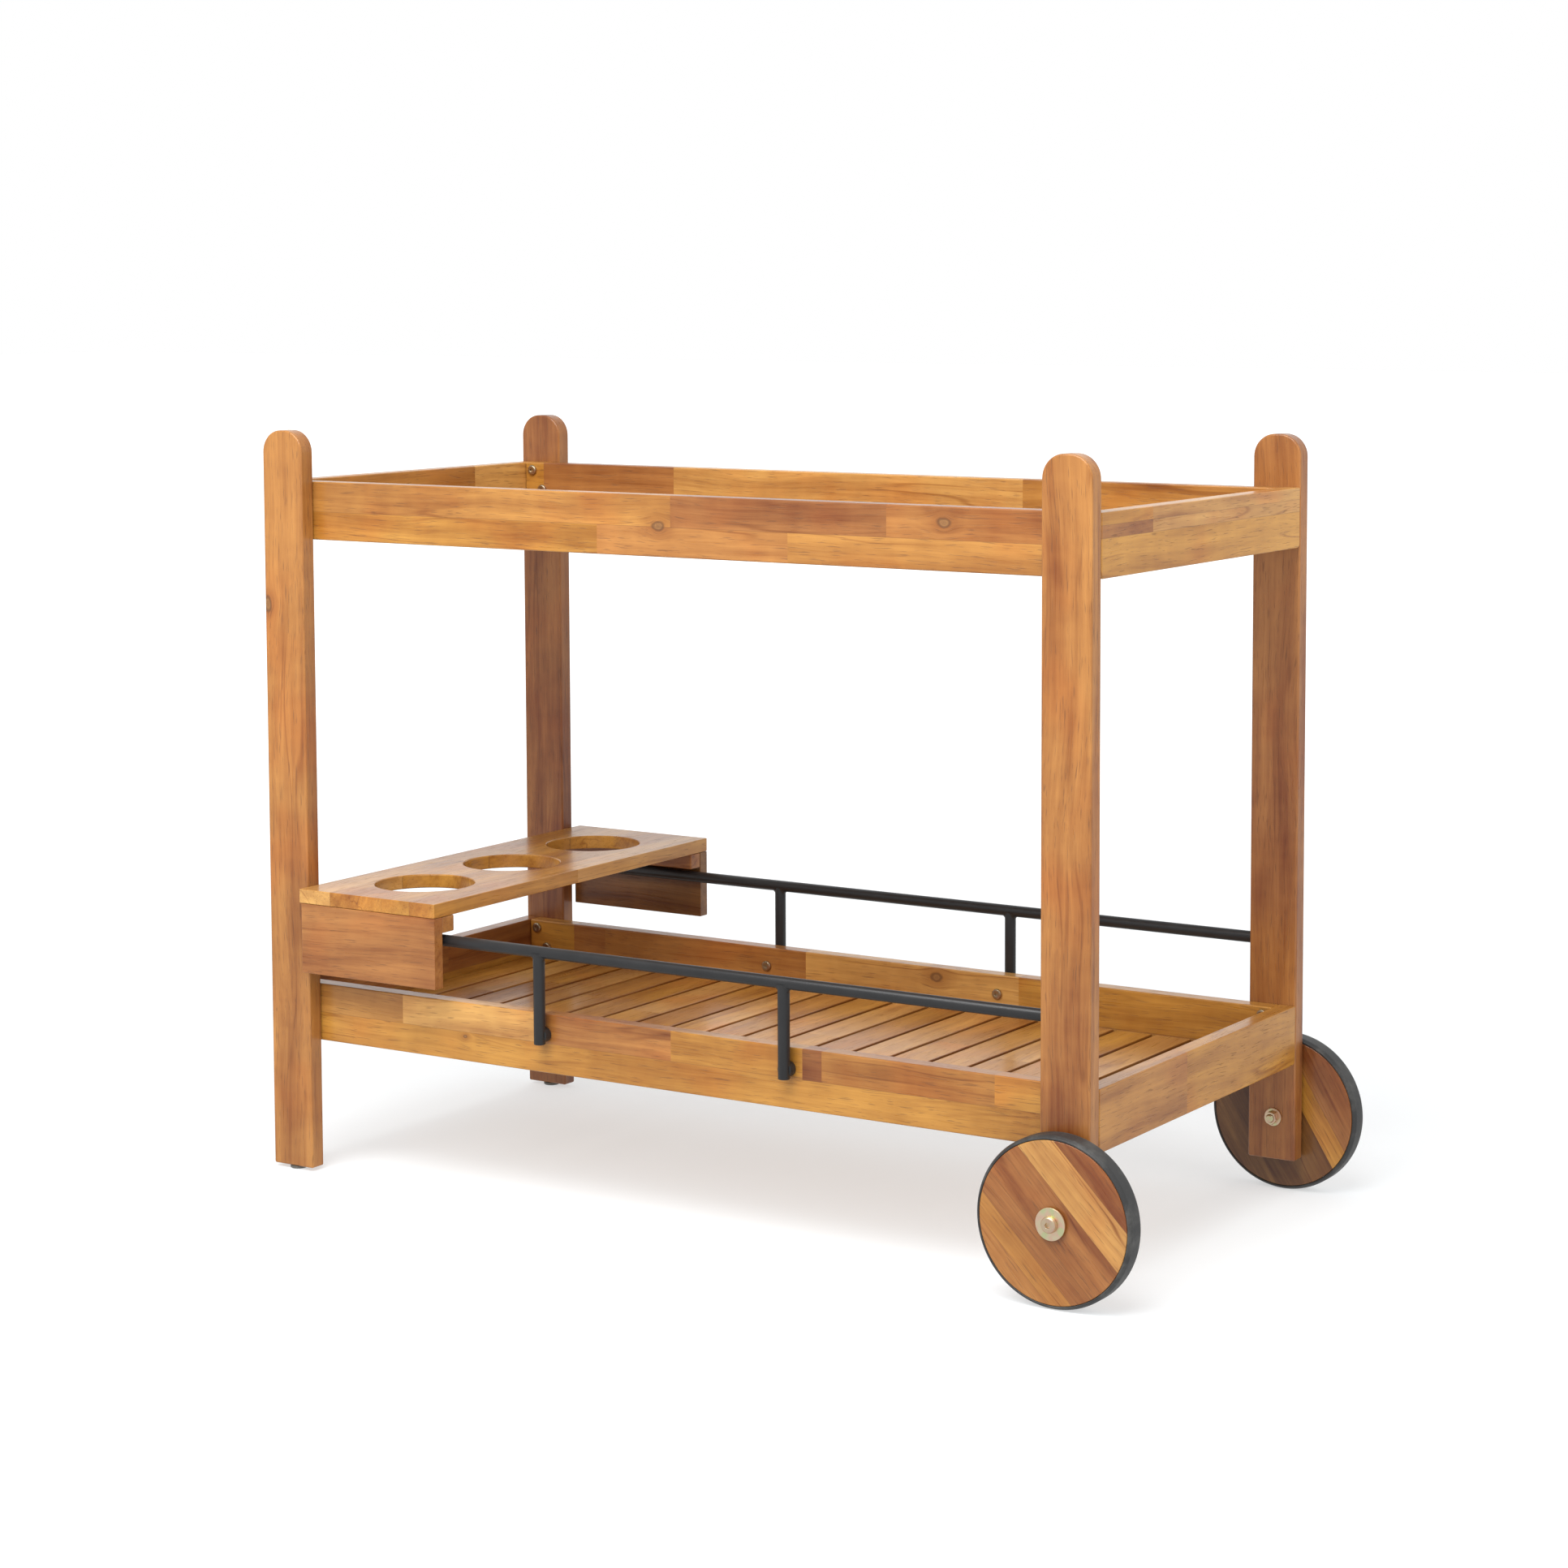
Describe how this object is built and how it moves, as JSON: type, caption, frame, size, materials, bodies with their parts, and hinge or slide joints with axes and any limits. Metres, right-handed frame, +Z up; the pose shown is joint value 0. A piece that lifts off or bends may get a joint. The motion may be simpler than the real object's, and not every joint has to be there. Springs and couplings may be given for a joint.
{
  "type": "bar cart on wheels",
  "caption": "Two-tier wooden bar cart with slatted trays, a pierced bottle rack, black steel guard rails and wheels with black tyres at one end.",
  "frame": {"origin": "on the floor, under the centre of the cart's bounding box", "axes": "+Z up; +X along the cart towards the wheels, with the bottle rack at -X; +Y across the cart, from the front long side to the back one"},
  "size_m": [1.128, 0.5818, 0.85],
  "materials": {
    "axle_bolt_back": "yellow zinc plate",
    "axle_bolt_front": "yellow zinc plate",
    "axle_inner_washer_back": "yellow zinc plate",
    "axle_inner_washer_front": "yellow zinc plate",
    "axle_nut_back": "yellow zinc plate",
    "axle_nut_front": "yellow zinc plate",
    "glide_back": "matt",
    "glide_front": "matt",
    "guard_rail_back": "black powder coat, satin",
    "guard_rail_front": "black powder coat, satin",
    "guard_screw_back_left": "yellow zinc plate",
    "guard_screw_back_right": "yellow zinc plate",
    "guard_screw_front_left": "yellow zinc plate",
    "guard_screw_front_right": "yellow zinc plate",
    "leg_left_back": "oiled acacia, satin",
    "leg_left_front": "oiled acacia, satin",
    "leg_right_back": "oiled acacia, satin",
    "leg_right_front": "oiled acacia, satin",
    "lower_leg_screw_left_back_high": "yellow zinc plate",
    "lower_leg_screw_left_back_low": "yellow zinc plate",
    "lower_leg_screw_left_front_high": "yellow zinc plate",
    "lower_leg_screw_left_front_low": "yellow zinc plate",
    "lower_leg_screw_right_back_high": "yellow zinc plate",
    "lower_leg_screw_right_back_low": "yellow zinc plate",
    "lower_leg_screw_right_front_high": "yellow zinc plate",
    "lower_leg_screw_right_front_low": "yellow zinc plate",
    "lower_rail_back": "oiled acacia, satin",
    "lower_rail_front": "oiled acacia, satin",
    "lower_rail_left": "oiled acacia, satin",
    "lower_rail_right": "oiled acacia, satin",
    "lower_slat_panel": "oiled acacia, satin",
    "rack_cleat_back": "oiled acacia, satin",
    "rack_cleat_front": "oiled acacia, satin",
    "rack_side_back": "oiled acacia, satin",
    "rack_side_front": "oiled acacia, satin",
    "rack_top": "oiled acacia, satin",
    "upper_leg_screw_left_back_high": "yellow zinc plate",
    "upper_leg_screw_left_back_low": "yellow zinc plate",
    "upper_leg_screw_left_front_high": "yellow zinc plate",
    "upper_leg_screw_left_front_low": "yellow zinc plate",
    "upper_leg_screw_right_back_high": "yellow zinc plate",
    "upper_leg_screw_right_back_low": "yellow zinc plate",
    "upper_leg_screw_right_front_high": "yellow zinc plate",
    "upper_leg_screw_right_front_low": "yellow zinc plate",
    "upper_rail_back": "oiled acacia, satin",
    "upper_rail_front": "oiled acacia, satin",
    "upper_rail_left": "oiled acacia, satin",
    "upper_rail_right": "oiled acacia, satin",
    "upper_slat_panel": "oiled acacia, satin",
    "wheel_disc_back": "oiled acacia, satin",
    "wheel_disc_front": "oiled acacia, satin",
    "wheel_outer_washer_back": "yellow zinc plate",
    "wheel_outer_washer_front": "yellow zinc plate",
    "wheel_second_washer_back": "yellow zinc plate",
    "wheel_second_washer_front": "yellow zinc plate",
    "wheel_spacer_back": "yellow zinc plate",
    "wheel_spacer_front": "yellow zinc plate",
    "wheel_tyre_back": "matt black rubber",
    "wheel_tyre_front": "matt black rubber"
  },
  "bodies": {
    "cart": {"axle_bolt_back": "axle_bolt_back", "axle_bolt_front": "axle_bolt_front", "axle_inner_washer_back": "axle_inner_washer_back", "axle_inner_washer_front": "axle_inner_washer_front", "axle_nut_back": "axle_nut_back", "axle_nut_front": "axle_nut_front", "glide_back": "glide_back", "glide_front": "glide_front", "guard_rail_back": "guard_rail_back", "guard_rail_front": "guard_rail_front", "guard_screw_back_left": "guard_screw_back_left", "guard_screw_back_right": "guard_screw_back_right", "guard_screw_front_left": "guard_screw_front_left", "guard_screw_front_right": "guard_screw_front_right", "leg_left_back": "leg_left_back", "leg_left_front": "leg_left_front", "leg_right_back": "leg_right_back", "leg_right_front": "leg_right_front", "lower_leg_screw_left_back_high": "lower_leg_screw_left_back_high", "lower_leg_screw_left_back_low": "lower_leg_screw_left_back_low", "lower_leg_screw_left_front_high": "lower_leg_screw_left_front_high", "lower_leg_screw_left_front_low": "lower_leg_screw_left_front_low", "lower_leg_screw_right_back_high": "lower_leg_screw_right_back_high", "lower_leg_screw_right_back_low": "lower_leg_screw_right_back_low", "lower_leg_screw_right_front_high": "lower_leg_screw_right_front_high", "lower_leg_screw_right_front_low": "lower_leg_screw_right_front_low", "lower_rail_back": "lower_rail_back", "lower_rail_front": "lower_rail_front", "lower_rail_left": "lower_rail_left", "lower_rail_right": "lower_rail_right", "lower_slat_panel": "lower_slat_panel", "rack_cleat_back": "rack_cleat_back", "rack_cleat_front": "rack_cleat_front", "rack_side_back": "rack_side_back", "rack_side_front": "rack_side_front", "rack_top": "rack_top", "upper_leg_screw_left_back_high": "upper_leg_screw_left_back_high", "upper_leg_screw_left_back_low": "upper_leg_screw_left_back_low", "upper_leg_screw_left_front_high": "upper_leg_screw_left_front_high", "upper_leg_screw_left_front_low": "upper_leg_screw_left_front_low", "upper_leg_screw_right_back_high": "upper_leg_screw_right_back_high", "upper_leg_screw_right_back_low": "upper_leg_screw_right_back_low", "upper_leg_screw_right_front_high": "upper_leg_screw_right_front_high", "upper_leg_screw_right_front_low": "upper_leg_screw_right_front_low", "upper_rail_back": "upper_rail_back", "upper_rail_front": "upper_rail_front", "upper_rail_left": "upper_rail_left", "upper_rail_right": "upper_rail_right", "upper_slat_panel": "upper_slat_panel", "wheel_outer_washer_back": "wheel_outer_washer_back", "wheel_outer_washer_front": "wheel_outer_washer_front", "wheel_second_washer_back": "wheel_second_washer_back", "wheel_second_washer_front": "wheel_second_washer_front", "wheel_spacer_back": "wheel_spacer_back", "wheel_spacer_front": "wheel_spacer_front"},
    "wheel_front": {"wheel_disc_front": "wheel_disc_front", "wheel_tyre_front": "wheel_tyre_front"},
    "wheel_back": {"wheel_disc_back": "wheel_disc_back", "wheel_tyre_back": "wheel_tyre_back"}
  },
  "joints": [
    {"name": "front_wheel_spin", "type": "hinge", "parent": "cart", "child": "wheel_front", "pos_m": [0.476, -0.2685, 0.088], "axis": [0, 1, 0], "continuous": true},
    {"name": "back_wheel_spin", "type": "hinge", "parent": "cart", "child": "wheel_back", "pos_m": [0.476, 0.2685, 0.088], "axis": [0, 1, 0], "continuous": true}
  ]
}
